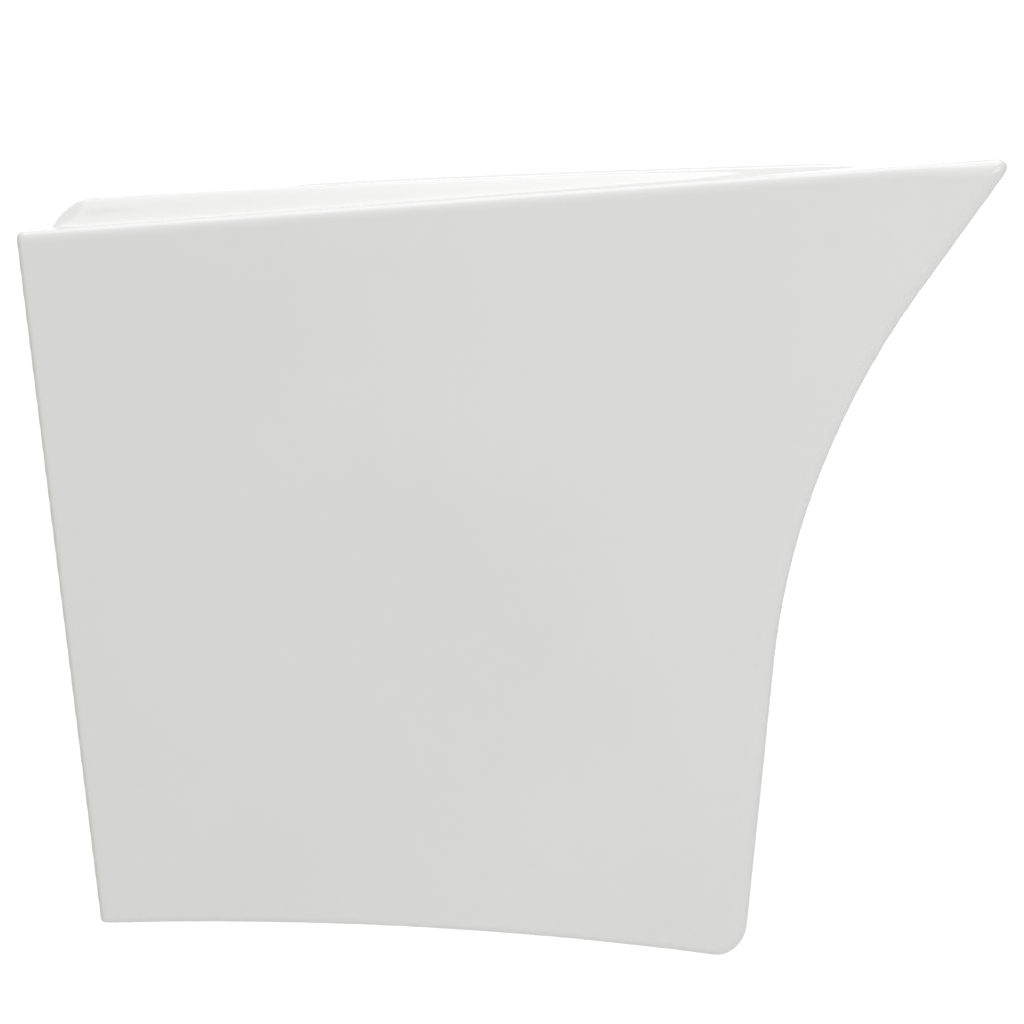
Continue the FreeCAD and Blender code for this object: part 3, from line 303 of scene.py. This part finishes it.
def ceramic_distance(sizes, points):
    """Signed distance to the finished casting, negative inside the ceramic."""
    x, y, z = points[..., 0], points[..., 1], points[..., 2] - RIM
    side = side_distance(sizes, x, z)
    front = front_distance(sizes, y, z)
    bottom = bottom_distance(sizes, y, z)
    bowl = bowl_distance(sizes, x, y, z)
    duct = duct_distance(sizes, x, y, z)
    drain = np.hypot(x, y - DRAIN_Y)

    # The side's edge is crisp along the bottom and at the lip, and rounder down the shroud's front.
    at_front = smooth_step((front - bottom) / 0.03 + 0.5)
    flank = LIP_FLANK + (SHROUD_FLANK - LIP_FLANK) * smooth_step((-z - 0.10) / 0.2)
    flank = BOTTOM_EDGE + at_front * (flank - BOTTOM_EDGE)
    body = round_max(round_max(front, bottom, TOE_RADIUS), side, flank)
    rim = RIM_RADIUS + (NOSE_RADIUS - RIM_RADIUS) * smooth_step((-y - 0.44) / 0.05)
    body = round_max(body, z - top_height(sizes, x, y), rim)
    body = round_max(body, y, 0.003)
    body = round_max(body, -bowl, 0.009)

    body = round_max(body, -hollow_distance(sizes, points), 0.004)

    # Holes and seats.
    body = round_max(body, -duct, 0.002)
    seat = np.maximum(drain - SEAT_RADIUS, -z - SEAT_DROP)
    bore = np.maximum(drain - BORE_RADIUS, z + BORE_TOP)
    body = round_max(body, -np.minimum(seat, bore), 0.0015)
    tap = np.maximum(np.hypot(x - TAP.x, y - TAP.y) - TAP_RADIUS, -z - TAP_REACH)
    body = round_max(body, -tap, 0.002)
    fixing = np.maximum(np.hypot(np.abs(x) - FIXING_X, z + RIM) - FIXING_RADIUS, -y - FIXING_REACH)
    body = round_max(body, -fixing, 0.0015)
    # The overflow hole runs square to the bowl's leaning back wall.
    lean = sizes.back_slope / sizes.bowl_depth
    tilt = math.atan(lean)
    rise_y, rise_z = y + sizes.deck + lean * OVERFLOW_DROP, z + OVERFLOW_DROP
    into = rise_y * math.cos(tilt) - rise_z * math.sin(tilt)
    off = np.hypot(x, rise_y * math.sin(tilt) + rise_z * math.cos(tilt))
    overflow = np.maximum(off - OVERFLOW_RADIUS, np.abs(into - OVERFLOW_MIDDLE) - OVERFLOW_REACH)
    return round_max(body, -overflow, 0.0015)


def field_slope(field, points, step=2e-4):
    """Gradient of a distance field by central differences."""
    slope = np.empty_like(points)
    for axis in range(3):
        shift = np.zeros(3)
        shift[axis] = step
        slope[:, axis] = (field(points + shift) - field(points - shift)) / (2 * step)
    return slope


def skin_of(field, low, high, grid):
    """Vertices and quads of the surface where the field is zero, one vertex to a grid cell."""
    axes = [np.arange(a - 1.5 * grid, b + 2.5 * grid, grid) for a, b in zip(low, high)]
    values = np.empty([len(axis) for axis in axes], np.float32)
    for index, x in enumerate(axes[0]):
        y, z = np.meshgrid(axes[1], axes[2], indexing="ij")
        values[index] = field(np.stack([np.full_like(y, x), y, z], -1))
    inside = values < 0
    count = sum(
        inside[i: i - 1 or None, j: j - 1 or None, k: k - 1 or None].astype(np.int8)
        for i in (0, 1) for j in (0, 1) for k in (0, 1)
    )
    cells = np.argwhere((count > 0) & (count < 8))
    number = np.full(count.shape, -1, np.int64)
    number[tuple(cells.T)] = np.arange(len(cells))
    total, crossings = np.zeros((len(cells), 3)), np.zeros(len(cells))
    quads = []
    for axis in range(3):
        u, v = (axis + 1) % 3, (axis + 2) % 3
        for du in (0, 1):
            for dv in (0, 1):
                start = cells.copy()
                start[:, u] += du
                start[:, v] += dv
                end = start.copy()
                end[:, axis] += 1
                a, b = values[tuple(start.T)], values[tuple(end.T)]
                cut = (a < 0) != (b < 0)
                spot = start[cut].astype(float)
                spot[:, axis] += a[cut] / (a[cut] - b[cut])
                total[cut] += spot
                crossings[cut] += 1
        ahead = [slice(None)] * 3
        behind = [slice(None)] * 3
        ahead[axis], behind[axis] = slice(1, None), slice(None, -1)
        flips = np.argwhere(inside[tuple(behind)] != inside[tuple(ahead)])
        entering = inside[tuple(flips.T)]
        ring = []
        for du, dv in ((-1, -1), (0, -1), (0, 0), (-1, 0)):
            around = flips.copy()
            around[:, u] += du
            around[:, v] += dv
            ring.append(number[tuple(around.T)])
        faces = np.stack(ring, 1)
        faces[~entering] = faces[~entering][:, ::-1]
        quads.append(faces)
    origin = np.array([axis[0] for axis in axes])
    return origin + grid * total / crossings[:, None], np.concatenate(quads)


def settle(field, points, quads, grid):
    """Evens out the faces and draws every vertex onto the exact surface."""
    edges = np.concatenate([quads[:, [i, (i + 1) % 4]] for i in range(4)])
    degree = np.bincount(edges.ravel(), minlength=len(points))[:, None]
    for even in (0.6, 0.6, 0.4, 0, 0):
        slope = field_slope(field, points)
        length = np.linalg.norm(slope, axis=1, keepdims=True)
        normal = slope / np.maximum(length, 1e-6)
        if even:
            neighbours = points[edges[:, ::-1].ravel()]
            sums = np.stack([
                np.bincount(edges.ravel(), neighbours[:, axis], len(points)) for axis in range(3)
            ], 1)
            drift = sums / degree - points
            drift -= (drift * normal).sum(1, keepdims=True) * normal
            points = points + even * drift
        step = (field(points)[:, None] / np.maximum(length, 0.3)).clip(-grid / 2, grid / 2)
        points = points - step * normal
    slope = field_slope(field, points)
    return points, slope / np.maximum(np.linalg.norm(slope, axis=1, keepdims=True), 1e-6)


# ------------------------------------------------------------------ finishes


class FinishColours(bpy.types.PropertyGroup):
    """Base colours of the finishes, each as a deep and a pale tone that the surface wanders between."""

    glaze: bpy.props.FloatVectorProperty(
        name="Glaze", description="White sanitary glaze", default=(0.81, 0.81, 0.805), subtype="COLOR")
    clay: bpy.props.FloatVectorProperty(
        name="Bare clay", description="Fired clay that was left unglazed", default=(0.72, 0.70, 0.66),
        subtype="COLOR")
    chrome: bpy.props.FloatVectorProperty(
        name="Chrome", description="Polished chrome plate", default=(0.70, 0.71, 0.72), subtype="COLOR")
    brass: bpy.props.FloatVectorProperty(
        name="Brass", description="Machined brass", default=(0.62, 0.44, 0.20), subtype="COLOR")
    steel: bpy.props.FloatVectorProperty(
        name="Steel", description="Drawn stainless steel", default=(0.50, 0.50, 0.51), subtype="COLOR")
    rubber: bpy.props.FloatVectorProperty(
        name="Rubber", description="Black sealing rubber", default=(0.018, 0.018, 0.019), subtype="COLOR")
    plastic: bpy.props.FloatVectorProperty(
        name="White plastic", description="Moulded polypropylene of the trap", default=(0.78, 0.78, 0.765),
        subtype="COLOR")
    acetal: bpy.props.FloatVectorProperty(
        name="Acetal", description="Moulded click cartridge", default=(0.70, 0.70, 0.67), subtype="COLOR")


class Finish:
    """A material under construction: its shader, and short ways to add noise and join nodes."""

    def __init__(self, name):
        self.material = bpy.data.materials.new(name)
        self.material.use_nodes = True
        self.nodes = self.material.node_tree.nodes
        self.links = self.material.node_tree.links
        self.shader = self.nodes["Principled BSDF"]
        self.place = self.nodes.new("ShaderNodeTexCoord").outputs["Object"]

    def set(self, **values):
        for name, value in values.items():
            self.shader.inputs[name.replace("_", " ")].default_value = value

    def feed(self, name, value):
        self.links.new(value, self.shader.inputs[name])

    def noise(self, scale, detail=3, stretch=(1, 1, 1)):
        """Fractal noise in the object's own space, squeezed by stretch along each axis."""
        mapping = self.nodes.new("ShaderNodeMapping")
        mapping.inputs["Scale"].default_value = stretch
        self.links.new(self.place, mapping.inputs["Vector"])
        noise = self.nodes.new("ShaderNodeTexNoise")
        noise.inputs["Scale"].default_value = scale
        noise.inputs["Detail"].default_value = detail
        self.links.new(mapping.outputs["Vector"], noise.inputs["Vector"])
        return noise.outputs["Fac"]

    def spread(self, value, low, high):
        """A noise's middle range, spread from low to high."""
        remap = self.nodes.new("ShaderNodeMapRange")
        remap.inputs["From Min"].default_value = 0.3
        remap.inputs["From Max"].default_value = 0.7
        remap.inputs["To Min"].default_value = low
        remap.inputs["To Max"].default_value = high
        self.links.new(value, remap.inputs["Value"])
        return remap.outputs["Result"]

    def tones(self, value, colour, depth):
        """The colour, wandering between a deeper and a paler tone."""
        ramp = self.nodes.new("ShaderNodeValToRGB")
        for element, spot, share in zip(ramp.color_ramp.elements, (0.3, 0.7), (1 - depth, 1 + depth)):
            element.position = spot
            element.color = (*(min(channel * share, 1) for channel in colour), 1)
        self.links.new(value, ramp.inputs["Fac"])
        return ramp.outputs["Color"]

    def mix(self, share, first, second, kind="FLOAT"):
        mix = self.nodes.new("ShaderNodeMix")
        mix.data_type = kind
        sockets = {"FLOAT": (2, 3, 0), "RGBA": (6, 7, 2)}[kind]
        self.links.new(share, mix.inputs["Factor"])
        self.links.new(first, mix.inputs[sockets[0]])
        self.links.new(second, mix.inputs[sockets[1]])
        return mix.outputs[sockets[2]]

    def relief(self, height, distance=1.0, strength=1.0):
        bump = self.nodes.new("ShaderNodeBump")
        bump.inputs["Distance"].default_value = distance
        bump.inputs["Strength"].default_value = strength
        self.links.new(height, bump.inputs["Height"])
        self.links.new(bump.outputs["Normal"], self.shader.inputs["Normal"])


def glazed_ceramic(colours):
    """White glaze where the casting was dipped, fired clay where its bare attribute is 1."""
    finish = Finish("Glazed ceramic")
    bare = finish.nodes.new("ShaderNodeAttribute")
    bare.attribute_name = "bare"
    bare = bare.outputs["Fac"]
    cloud, haze = finish.noise(7), finish.noise(26, 4)
    grain, ripple = finish.noise(1500, 3), finish.noise(45, 2)
    glaze = finish.tones(cloud, colours.glaze, 0.012)
    clay = finish.tones(grain, colours.clay, 0.07)
    finish.feed("Base Color", finish.mix(bare, glaze, clay, "RGBA"))
    gloss = finish.mix(bare, finish.spread(haze, 0.06, 0.11), finish.spread(grain, 0.74, 0.92))
    finish.feed("Roughness", gloss)
    ripples, pores = finish.spread(ripple, 0, 0.00006), finish.spread(grain, 0, 0.00012)
    finish.relief(finish.mix(bare, ripples, pores))
    finish.set(IOR=1.52)
    return finish.material


def chrome(colours):
    """Bright plate with faint wipe marks."""
    finish = Finish("Polished chrome")
    wipe = finish.noise(60, 5, (1, 1, 6))
    finish.feed("Base Color", finish.tones(wipe, colours.chrome, 0.03))
    finish.feed("Roughness", finish.spread(wipe, 0.05, 0.12))
    finish.set(Metallic=1.0)
    return finish.material


def brass(colours):
    """Turned brass, dulled unevenly, with fine tool rings."""
    finish = Finish("Machined brass")
    tarnish, rings = finish.noise(90, 5), finish.noise(40, 2, (1, 1, 60))
    finish.feed("Base Color", finish.tones(tarnish, colours.brass, 0.14))
    finish.feed("Roughness", finish.spread(tarnish, 0.22, 0.42))
    finish.relief(finish.spread(rings, 0, 0.00003))
    finish.set(Metallic=1.0)
    return finish.material


def steel(colours):
    """Drawn stainless steel with lengthwise scratches."""
    finish = Finish("Drawn steel")
    scratch = finish.noise(200, 4, (1, 1, 0.1))
    finish.feed("Base Color", finish.tones(scratch, colours.steel, 0.06))
    finish.feed("Roughness", finish.spread(scratch, 0.2, 0.36))
    finish.set(Metallic=1.0)
    return finish.material


def rubber(colours):
    """Matt black sealing rubber with a faint bloom."""
    finish = Finish("Sealing rubber")
    bloom, grain = finish.noise(120, 4), finish.noise(1400, 2)
    finish.feed("Base Color", finish.tones(bloom, colours.rubber, 0.35))
    finish.feed("Roughness", finish.spread(bloom, 0.6, 0.82))
    finish.relief(finish.spread(grain, 0, 0.00005))
    return finish.material


def moulded(name, colour, low, high, texture):
    """Moulded plastic: roughness from low to high, and a fine mould texture of that height."""
    finish = Finish(name)
    flow, grain = finish.noise(35, 3), finish.noise(900, 3)
    finish.feed("Base Color", finish.tones(flow, colour, 0.025))
    finish.feed("Roughness", finish.spread(flow, low, high))
    finish.relief(finish.spread(grain, 0, texture))
    finish.set(IOR=1.49)
    return finish.material


def coat(nodes, material):
    """Gives CAD nodes their finish, in place of the flat colour they were packed with."""
    for name in nodes:
        mesh = frame["nodes"][name].data
        mesh.materials.clear()
        mesh.materials.append(material)


# ------------------------------------------------------------------ pieces


class WASHBASIN_OT_casting(bpy.types.Operator):
    """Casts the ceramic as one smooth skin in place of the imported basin"""

    bl_idname = "washbasin.casting"
    bl_label = "Ceramic Casting"

    def execute(self, context):
        sizes = context.scene.washbasin_ceramic
        grid = sizes.grid

        def field(points):
            return ceramic_distance(sizes, points)

        points, quads = skin_of(field, BASIN_LOW, BASIN_HIGH, grid)
        points, normals = settle(field, points, quads, grid)
        mesh = bpy.data.meshes.new("ceramic_casting")
        mesh.from_pydata(points, [], quads)
        mesh.polygons.foreach_set("use_smooth", np.ones(len(quads), bool))
        mesh.update()
        if mesh.validate():
            raise RuntimeError("the casting's skin has faults")
        bare = mesh.attributes.new("bare", "FLOAT", "POINT")
        bare.data.foreach_set("value", bareness(sizes, points).astype(np.float32))
        mesh.normals_split_custom_set_from_vertices(normals)
        mesh.materials.append(glazed_ceramic(context.scene.washbasin_colours))
        casting = bpy.data.objects.new("ceramic_casting", mesh)
        context.collection.objects.link(casting)
        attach(casting, "basin")
        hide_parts("basin")
        return {"FINISHED"}


class WASHBASIN_OT_waste(bpy.types.Operator):
    """Finishes the click-clack waste, its plug and the overflow trim"""

    bl_idname = "washbasin.waste"
    bl_label = "Waste and Plug"

    def execute(self, context):
        colours = context.scene.washbasin_colours
        coat(("overflow_trim", "waste_body", "waste_plug"), chrome(colours))
        coat(("waste_backnut", "waste_crossbar"), brass(colours))
        coat(("click_spring", "plug_stem"), steel(colours))
        coat(("click_cartridge",), moulded("Moulded acetal", colours.acetal, 0.34, 0.48, 0.00003))
        return {"FINISHED"}


class WASHBASIN_OT_seals(bpy.types.Operator):
    """Finishes the rubber seals and the slip washer"""

    bl_idname = "washbasin.seals"
    bl_label = "Seals and Washers"

    def execute(self, context):
        colours = context.scene.washbasin_colours
        coat([name for name in frame["nodes"] if SLOTS[name] == "rubber"], rubber(colours))
        coat(("waste_slip_washer",), moulded("Slip washer plastic", colours.acetal, 0.4, 0.55, 0.00003))
        return {"FINISHED"}


class WASHBASIN_OT_trap(bpy.types.Operator):
    """Finishes the bottle trap, its nuts, its outlet pipe and the wall rose"""

    bl_idname = "washbasin.trap"
    bl_label = "Bottle Trap"

    def execute(self, context):
        colours = context.scene.washbasin_colours
        coat(("trap_body", "trap_cup", "trap_dip_tube", "trap_outlet_pipe"),
             moulded("Trap polypropylene", colours.plastic, 0.24, 0.36, 0.00002))
        darker = [channel * 0.95 for channel in colours.plastic]
        coat(("trap_inlet_nut", "trap_top_nut", "trap_outlet_nut"),
             moulded("Nut polypropylene", darker, 0.3, 0.42, 0.00004))
        coat(("wall_rose",), moulded("Rose polypropylene", colours.plastic, 0.16, 0.26, 0.00002))
        return {"FINISHED"}


# ------------------------------------------------------------------ studio


class StudioSettings(bpy.types.PropertyGroup):
    """The studio: where the camera and the lights stand, and how bright they are."""

    distance: bpy.props.FloatProperty(
        name="Camera distance", description="Camera to the near side of the rim", default=1.5, unit="LENGTH")
    height: bpy.props.FloatProperty(
        name="Camera height", description="Camera above the rim", default=0.0166, unit="LENGTH")
    aside: bpy.props.FloatProperty(
        name="Camera aside", description="Camera off the basin's middle, towards the wall", default=0.0111,
        unit="LENGTH")
    pitch: bpy.props.FloatProperty(
        name="Camera pitch", description="How far the camera looks down", default=math.radians(6.72),
        subtype="ANGLE")
    roll: bpy.props.FloatProperty(
        name="Camera roll", description="How far the camera is tipped, which lifts the front lip",
        default=math.radians(-4.27), subtype="ANGLE")
    lens: bpy.props.FloatProperty(
        name="Lens", description="Focal length on a 36 mm sensor", default=0.1046, subtype="DISTANCE_CAMERA")
    shift: bpy.props.FloatVectorProperty(
        name="Framing", description="Sideways and upward shift of the picture", size=2,
        default=(-0.0018, 0.0008))
    ambient: bpy.props.FloatProperty(
        name="Room light", description="Light from the white room all round", default=0.76)
    floor_drop: bpy.props.FloatProperty(
        name="Floor", description="Rim to the floor that the basin hangs above", default=0.85, unit="LENGTH")


def add_softbox(name, spot, target, size, power):
    light = bpy.data.lights.new(name, "AREA")
    light.shape = "RECTANGLE"
    light.size, light.size_y = size
    light.energy = power
    softbox = bpy.data.objects.new(name, light)
    softbox.location = spot
    softbox.rotation_euler = (Vector(target) - Vector(spot)).to_track_quat("-Z", "Y").to_euler()
    bpy.context.collection.objects.link(softbox)
    return softbox


def white_room(scene, ambient):
    """A room that shows pure white behind the object and lights it more gently than it shows."""
    world = bpy.data.worlds.new("White room")
    world.use_nodes = True
    nodes, links = world.node_tree.nodes, world.node_tree.links
    shown = nodes["Background"]
    shown.inputs["Color"].default_value = (1, 1, 1, 1)
    shown.inputs["Strength"].default_value = 1.05
    felt = nodes.new("ShaderNodeBackground")
    felt.inputs["Color"].default_value = (1, 1, 1, 1)
    # The room is dimmer towards the front, so that the edges that turn there read darker.
    where = nodes.new("ShaderNodeTexCoord")
    split = nodes.new("ShaderNodeSeparateXYZ")
    fade = nodes.new("ShaderNodeMapRange")
    fade.inputs["From Min"].default_value = -1
    fade.inputs["From Max"].default_value = -0.3
    fade.inputs["To Min"].default_value = ambient * 0.55
    fade.inputs["To Max"].default_value = ambient
    links.new(where.outputs["Generated"], split.inputs["Vector"])
    links.new(split.outputs["Y"], fade.inputs["Value"])
    links.new(fade.outputs["Result"], felt.inputs["Strength"])
    rays = nodes.new("ShaderNodeLightPath")
    choice = nodes.new("ShaderNodeMixShader")
    links.new(rays.outputs["Is Camera Ray"], choice.inputs["Fac"])
    links.new(felt.outputs["Background"], choice.inputs[1])
    links.new(shown.outputs["Background"], choice.inputs[2])
    links.new(choice.outputs["Shader"], nodes["World Output"].inputs["Surface"])
    scene.world = world


def pale_floor(level):
    """A floor under the basin, with a soft edge turned down at its far side."""
    mesh = bpy.data.meshes.new("floor")
    half, far, turn = 1.6, 0.7, 0.05
    rows = [(x, level) for x in (-half, far - turn)]
    rows += [
        (far - turn + turn * math.sin(math.radians(a)), level - turn + turn * math.cos(math.radians(a)))
        for a in range(15, 91, 15)
    ]
    verts = [(x, y, z) for y in (-half, half) for x, z in rows]
    count = len(rows)
    faces = [(i, i + 1, count + i + 1, count + i) for i in range(count - 1)]
    mesh.from_pydata(verts, [], faces)
    mesh.polygons.foreach_set("use_smooth", [True] * len(faces))
    finish = Finish("Pale floor")
    finish.feed("Base Color", finish.tones(finish.noise(3), (0.76, 0.76, 0.755), 0.01))
    finish.feed("Roughness", finish.spread(finish.noise(12), 0.7, 0.8))
    mesh.materials.append(finish.material)
    floor = bpy.data.objects.new("floor", mesh)
    bpy.context.collection.objects.link(floor)
    floor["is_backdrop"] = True


class WASHBASIN_OT_studio(bpy.types.Operator):
    """Builds the white room, the floor, the lights and the camera"""

    bl_idname = "washbasin.studio"
    bl_label = "Studio"

    def execute(self, context):
        scene = context.scene
        settings = scene.washbasin_studio
        scene.view_settings.view_transform = "Standard"
        white_room(scene, settings.ambient)
        pale_floor(RIM - settings.floor_drop)
        middle = (BASIN_LOW + BASIN_HIGH) / 2
        add_softbox("overhead", middle + Vector((0, -0.1, 1.6)), middle, (1.6, 1.6), 10)
        add_softbox("front", middle + Vector((-1.9, -1.6, 0.5)), middle, (1.2, 1.4), 11)
        add_softbox("behind", middle + Vector((2.6, 0, 0.35)), middle, (3.4, 2.2), 26)

        camera = bpy.data.objects.new("camera", bpy.data.cameras.new("camera"))
        camera.data.sensor_width = 36
        camera.data.lens = settings.lens * 1000
        camera.data.shift_x, camera.data.shift_y = settings.shift
        aim = middle.y + settings.aside
        camera.location = (BASIN_LOW.x - settings.distance, aim, RIM + settings.height)
        ahead = Vector((math.cos(settings.pitch), 0, -math.sin(settings.pitch)))
        right = Vector((0, -1, 0))
        up = right.cross(ahead)
        spin = Matrix.Rotation(settings.roll, 3, -ahead)
        axes = Matrix((spin @ right, spin @ up, -ahead)).transposed()
        camera.rotation_euler = axes.to_euler()
        context.collection.objects.link(camera)
        scene.camera = camera
        return {"FINISHED"}


# ------------------------------------------------------------------ add-on


OPERATORS = (
    WASHBASIN_OT_casting,
    WASHBASIN_OT_waste,
    WASHBASIN_OT_seals,
    WASHBASIN_OT_trap,
    WASHBASIN_OT_studio,
)


class WASHBASIN_PT_panel(bpy.types.Panel):
    """Lists the washbasin's pieces and its studio"""

    bl_label = "Washbasin"
    bl_idname = "WASHBASIN_PT_panel"
    bl_space_type = "VIEW_3D"
    bl_region_type = "UI"
    bl_category = "Washbasin"

    def draw(self, context):
        for operator in OPERATORS:
            self.layout.operator(operator.bl_idname, text=operator.bl_label)


CLASSES = (CeramicSizes, FinishColours, StudioSettings, *OPERATORS, WASHBASIN_PT_panel)


def register():
    for item in CLASSES:
        bpy.utils.register_class(item)
    bpy.types.Scene.washbasin_ceramic = bpy.props.PointerProperty(type=CeramicSizes)
    bpy.types.Scene.washbasin_colours = bpy.props.PointerProperty(type=FinishColours)
    bpy.types.Scene.washbasin_studio = bpy.props.PointerProperty(type=StudioSettings)


def unregister():
    del bpy.types.Scene.washbasin_studio
    del bpy.types.Scene.washbasin_colours
    del bpy.types.Scene.washbasin_ceramic
    for item in reversed(CLASSES):
        bpy.utils.unregister_class(item)


def main():
    register()
    bpy.ops.washbasin.casting()
    bpy.ops.washbasin.waste()
    bpy.ops.washbasin.seals()
    bpy.ops.washbasin.trap()
    bpy.ops.washbasin.studio()
    boxes = {"cad": cad_box, "visual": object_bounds()}
    plain = {name: [[float(value) for value in corner] for corner in box] for name, box in boxes.items()}


if __name__ == "__main__":
    main()
